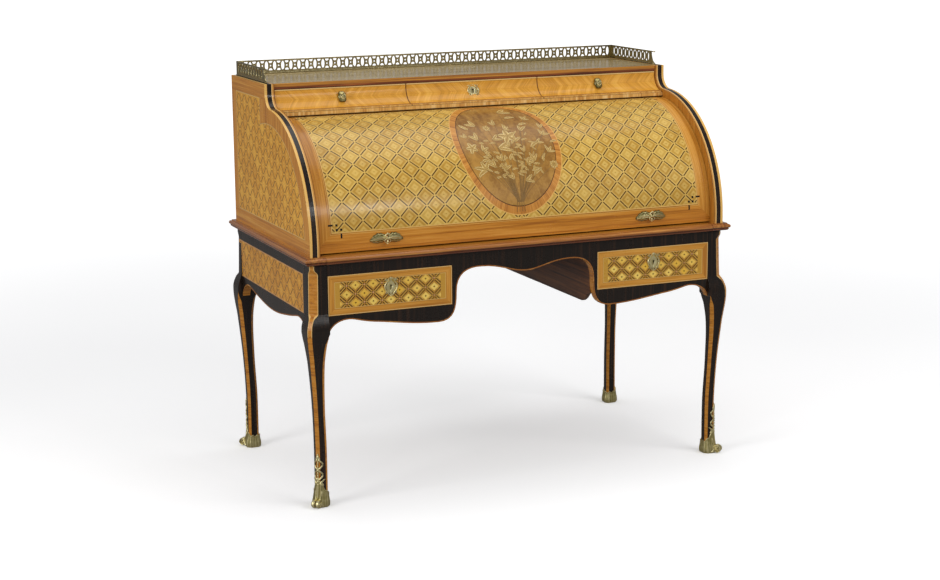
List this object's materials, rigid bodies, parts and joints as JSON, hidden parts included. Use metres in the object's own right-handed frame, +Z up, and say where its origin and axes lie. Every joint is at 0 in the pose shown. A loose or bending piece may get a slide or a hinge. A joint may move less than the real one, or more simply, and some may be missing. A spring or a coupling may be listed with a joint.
{
  "type": "cylinder desk",
  "caption": "Writing desk on cabriole legs: quarter-cylinder fall over a pull-out writing slide, with frieze drawers, lower drawers and a pierced gallery.",
  "frame": {"origin": "on the floor under the middle of the desk's width and depth", "axes": "+X to the desk's right as the writer sees it, -Y to the front, +Z up"},
  "size_m": [1.35, 0.737, 1.208],
  "materials": {
    "blackwood": "polished dark veneer",
    "parquetry": "polished tulipwood parquetry",
    "tulipwood": "polished tulipwood veneer",
    "moulding_wood": "polished red-brown hardwood",
    "oak": "planed oak, unpolished",
    "gilt_bronze": "cast and chased bronze, worn gilding",
    "gallery_brass": "pierced brass, aged",
    "lock_brass": "plain brass",
    "wrought_iron": "forged iron, dark",
    "leather": "waxed calf with a gold-tooled border"
  },
  "bodies": {
    "carcase": {"leg_front_left": "blackwood", "leg_front_right": "blackwood", "leg_back_left": "blackwood", "leg_back_right": "blackwood", "sabot_front_left": "gilt_bronze", "sabot_front_right": "gilt_bronze", "sabot_back_left": "gilt_bronze", "sabot_back_right": "gilt_bronze", "front_apron": "blackwood", "side_apron_left": "blackwood", "side_apron_right": "blackwood", "back_apron": "blackwood", "kneehole_side_left": "tulipwood", "kneehole_side_right": "tulipwood", "drawer_runners": "oak", "carcase_top_board": "oak", "top_moulding_left": "moulding_wood", "top_moulding_right": "moulding_wood", "top_moulding_back": "moulding_wood", "end_left": "parquetry", "end_right": "parquetry", "back_panel": "oak", "cabinet_floor": "oak", "frieze_shelf": "tulipwood", "frieze_dividers": "oak", "top_board": "tulipwood", "gallery_back": "gallery_brass", "gallery_left": "gallery_brass", "gallery_right": "gallery_brass", "pigeonhole_case": "oak", "pigeonhole_partitions": "oak", "pivot_pins": "wrought_iron"},
    "fall": {"fall_panel": "parquetry", "fall_arm_left": "wrought_iron", "fall_arm_right": "wrought_iron", "fall_handle_left": "gilt_bronze", "fall_handle_right": "gilt_bronze"},
    "slide": {"writing_slide": "moulding_wood", "writing_leather": "leather"},
    "lower_drawer_left": {"lower_drawer_front_left": "parquetry", "lower_drawer_box_left": "oak", "lower_escutcheon_left": "gilt_bronze", "lower_lock_left": "lock_brass"},
    "frieze_drawer_left": {"frieze_drawer_front_left": "tulipwood", "frieze_drawer_box_left": "oak", "frieze_knob_left": "gilt_bronze"},
    "small_drawer_body_left": {"small_drawer_left": "tulipwood", "small_knob_left": "lock_brass"},
    "lower_drawer_right": {"lower_drawer_front_right": "parquetry", "lower_drawer_box_right": "oak", "lower_escutcheon_right": "gilt_bronze", "lower_lock_right": "lock_brass"},
    "frieze_drawer_right": {"frieze_drawer_front_right": "tulipwood", "frieze_drawer_box_right": "oak", "frieze_knob_right": "gilt_bronze"},
    "small_drawer_body_right": {"small_drawer_right": "tulipwood", "small_knob_right": "lock_brass"},
    "frieze_drawer_centre": {"frieze_drawer_front_centre": "tulipwood", "frieze_drawer_box_centre": "oak", "frieze_escutcheon_centre": "gilt_bronze"}
  },
  "joints": [
    {"name": "fall_turn", "type": "hinge", "parent": "carcase", "child": "fall", "pos_m": [0, 0.002, 0.744], "axis": [-1, 0, 0], "range_deg": [0, 68]},
    {"name": "writing_slide_pull", "type": "slide", "parent": "carcase", "child": "slide", "axis": [0, -1, 0], "range_m": [0, 0.28]},
    {"name": "lower_drawer_left_pull", "type": "slide", "parent": "carcase", "child": "lower_drawer_left", "axis": [0, -1, 0], "range_m": [0, 0.36]},
    {"name": "lower_drawer_right_pull", "type": "slide", "parent": "carcase", "child": "lower_drawer_right", "axis": [0, -1, 0], "range_m": [0, 0.36]},
    {"name": "frieze_drawer_left_pull", "type": "slide", "parent": "carcase", "child": "frieze_drawer_left", "axis": [0, -1, 0], "range_m": [0, 0.17]},
    {"name": "frieze_drawer_centre_pull", "type": "slide", "parent": "carcase", "child": "frieze_drawer_centre", "axis": [0, -1, 0], "range_m": [0, 0.17]},
    {"name": "frieze_drawer_right_pull", "type": "slide", "parent": "carcase", "child": "frieze_drawer_right", "axis": [0, -1, 0], "range_m": [0, 0.17]},
    {"name": "small_drawer_left_pull", "type": "slide", "parent": "carcase", "child": "small_drawer_body_left", "axis": [0, -1, 0], "range_m": [0, 0.15]},
    {"name": "small_drawer_right_pull", "type": "slide", "parent": "carcase", "child": "small_drawer_body_right", "axis": [0, -1, 0], "range_m": [0, 0.15]}
  ]
}
